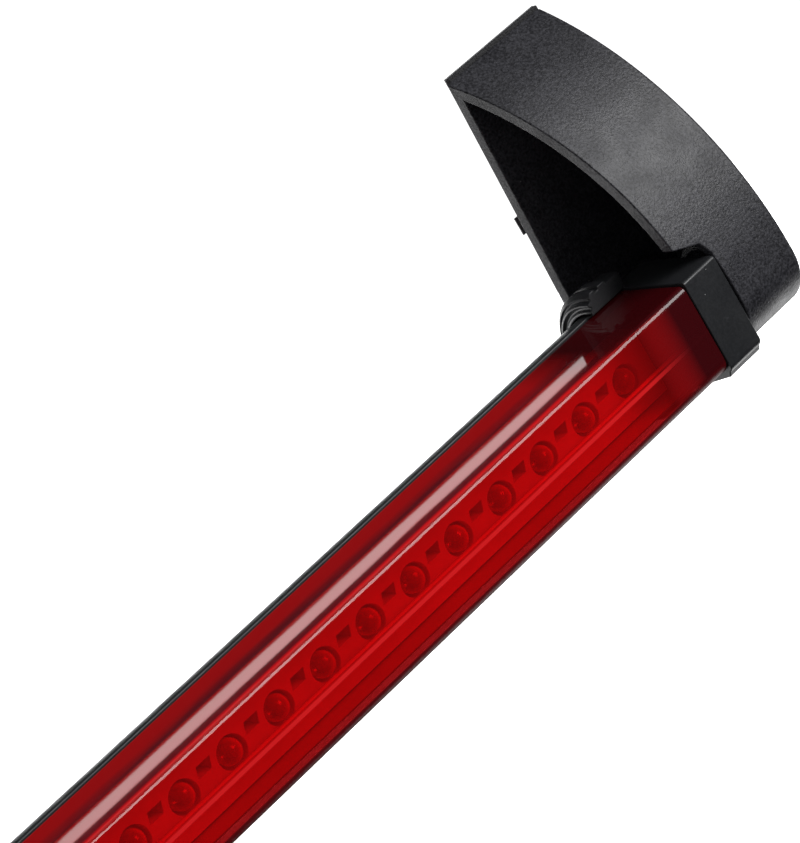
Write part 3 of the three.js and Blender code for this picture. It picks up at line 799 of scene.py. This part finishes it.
# ---- assembly -------------------------------------------------------------------------------
def lamp_pieces():
    piece("housing_shell", housing(), "lamp", "black_plastic", [CASE], ["housing"], bevel=0.25)
    piece("lens_cover", lens(), "lamp", "red_lens", [LENS], ["lens"], bevel=0.12)
    piece("reflector_tray", tray(), "lamp", "reflector", [TRAY], ["reflector"])
    piece("inlet_grommet", grommet(), "lamp", "rubber", [RUBBER], ["cable_grommet"])
    tan = (0.40, 0.26, 0.12, 1)
    stripes = [(-1.5, (0.25, 0.10, 0.02, 1)), (-0.5, (0.02, 0.02, 0.02, 1)),
               (0.5, (0.45, 0.05, 0.02, 1)), (1.6, (0.5, 0.35, 0.06, 1))]
    lacquered = lacquer("resistor_lacquer", tan, stripes)
    for i in range(LED_COUNT // LEDS_PER_STRING):
        string, resistor = f"led_string_{i + 1:02d}", f"resistor_{i + 1:02d}"
        piece(f"{string}_bodies", led_string(i), "lamp", "led", [EPOXY, TINNED], [string])
        body = axial_part(led_x(LEDS_PER_STRING * i + 1), 1.15, 3.1, 0.95)
        piece(f"{resistor}_body", body, "lamp", "resistor", [lacquered, TINNED], [resistor])
    epoxy_black = moulded_black("diode_black", (0.010, 0.010, 0.011, 1), (0.016, 0.016, 0.017, 1),
                                0.3, 0.3, 0.01, -0.05)
    piece("diode_body", axial_part(0, 1.35, 2.6, 1.35), "lamp", "diode", [epoxy_black, TINNED],
          ["polarity_diode"])
    board = frame["nodes"]["circuit_board"]
    board.data.materials.clear()
    board.data.materials.append(BOARD)


def side_pieces(side, mirrored):
    def add(name, bm, body, slot, look, node, bevel=0.0):
        piece(f"{side}_{name}", bm, body, slot, [look], [f"{side}_{node}"], mirrored, bevel)

    foot_body = f"{side}_foot"
    add("cap_shell", end_cap(), "lamp", "black_plastic", CASE, "end_cap", 0.2)
    for place, z in (("upper", CAP_SCREW_Z), ("lower", -CAP_SCREW_Z)):
        small = screw(HOUSING_HIGH.x - 10, CAP_FAR - 2.1, 1.3, 2.4, 1.8, CAP_SCREW_Y, z)
        add(f"cap_fixing_{place}", small, "lamp", "dark_steel", STEEL, f"cap_screw_{place}")
    big = screw(HOUSING_HIGH.x + 3, FOOT_HIGH.x - 2.7, 1.9, 4, 2.4)
    add("tilt_fixing", big, "lamp", "dark_steel", STEEL, "tilt_screw")
    add("split_washer", spring_washer(), "lamp", "dark_steel", STEEL, "spring_washer")
    add("foot_shell", foot(), foot_body, "foot_plastic", FOOT, "foot", 0.3)
    add("foam_pad", pad(), foot_body, "foam", FOAM, "adhesive_pad", 0.15)
    add("liner_film", liner(), foot_body, "liner_film", FILM, "pad_liner", 0.05)


lamp_pieces()
for side, mirrored in (("right", False), ("left", True)):
    side_pieces(side, mirrored)


# ---- floor, light and camera ------------------------------------------------------------------
def floor():
    """A wide white floor, well below the light, with a faint mottle."""
    bm = bmesh.new()
    bmesh.ops.create_grid(bm, x_segments=1, y_segments=1, size=40)
    made = to_object("floor", bm)
    made.location.z = -0.45
    r = Recipe("pale_floor")
    tone = r.blend(r.fade(r.noise(400, 2), 0.3, 0.7), (0.97, 0.97, 0.97, 1), (1, 1, 1, 1))
    r.set(base_color=tone, roughness=0.8, emission_color=tone, emission_strength=1.0)
    made.data.materials.append(r.material)
    made.visible_glossy = False
    made.visible_diffuse = False


def softbox(name, place, target, width, height, radiance):
    """A rectangular light, unseen by the camera, as bright as a white card is at 1."""
    data = bpy.data.lights.new(name, "AREA")
    data.shape = "RECTANGLE"
    data.size = width
    data.size_y = height
    data.energy = radiance * math.pi * width * height
    lamp = bpy.data.objects.new(name, data)
    lamp.location = place
    aim = Vector(target) - Vector(place)
    lamp.rotation_mode = "QUATERNION"
    lamp.rotation_quaternion = aim.to_track_quat("-Z", "Y")
    bpy.context.scene.collection.objects.link(lamp)
    lamp.visible_camera = False


def studio():
    """A dim world, and six lights: each one's comment says what it is seen in or falls on."""
    world = bpy.data.worlds.new("studio")
    bpy.context.scene.world = world
    world.use_nodes = True
    world.node_tree.nodes["Background"].inputs["Color"].default_value = (1, 1, 1, 1)
    world.node_tree.nodes["Background"].inputs["Strength"].default_value = 0.25
    world.cycles_visibility.glossy = False
    subject = Vector((0.15, 0, 0)) + AXIS
    # the front, with a bright patch on the feet's bows and along the lens's top front corner
    softbox("key", subject + Vector((0.61, -0.96, 0.62)), subject, 0.7, 0.7, 9)
    # the tops, softly
    softbox("fill", subject + Vector((0.2, -0.4, 1.4)), subject, 1.2, 1.0, 0.5)
    # the undersides of the end cap and foot
    softbox("under", subject + Vector((0.42, 0.16, -0.41)), subject, 0.3, 0.6, 3)
    # the near rim of the foot's open side
    softbox("left", subject + Vector((-0.90, 0.72, -0.30)), subject, 0.9, 0.6, 2.5)
    # the housing's round back, at a grazing angle
    softbox("backdrop", subject + Vector((0.3, 1.2, -0.30)), subject, 2.2, 0.65, 3.4)
    # a thin bright band mirrored in the lens's top
    strip = subject + Vector((0.30, 1.0, 0.4487))
    softbox("strip", strip, strip - Vector((0, 1, 0)), 0.735, 0.0073, 2.3)


def camera():
    """A view from the left and above, rolled, with a long lens, of the bar's right end."""
    azimuth, elevation, roll = math.radians(-29.85), math.radians(19.3), math.radians(-31.5)
    distance = 0.671
    target = AXIS + Vector((0.1548, 0.0479, 0))
    back = Vector((math.sin(azimuth) * math.cos(elevation), -math.cos(azimuth) * math.cos(elevation),
                   math.sin(elevation)))
    data = bpy.data.cameras.new("camera")
    data.lens = 152.6
    data.sensor_width = 36
    made = bpy.data.objects.new("camera", data)
    turn = (-back).to_track_quat("-Z", "Y").to_matrix() @ Matrix.Rotation(roll, 3, "Z")
    made.matrix_world = Matrix.Translation(target + back * distance) @ turn.to_4x4()
    bpy.context.scene.collection.objects.link(made)
    bpy.context.scene.camera = made


floor()
studio()
camera()
bpy.context.scene.view_settings.view_transform = "Standard"
bpy.context.scene.cycles.use_denoising = True
bpy.context.scene.cycles.transparent_max_bounces = 24
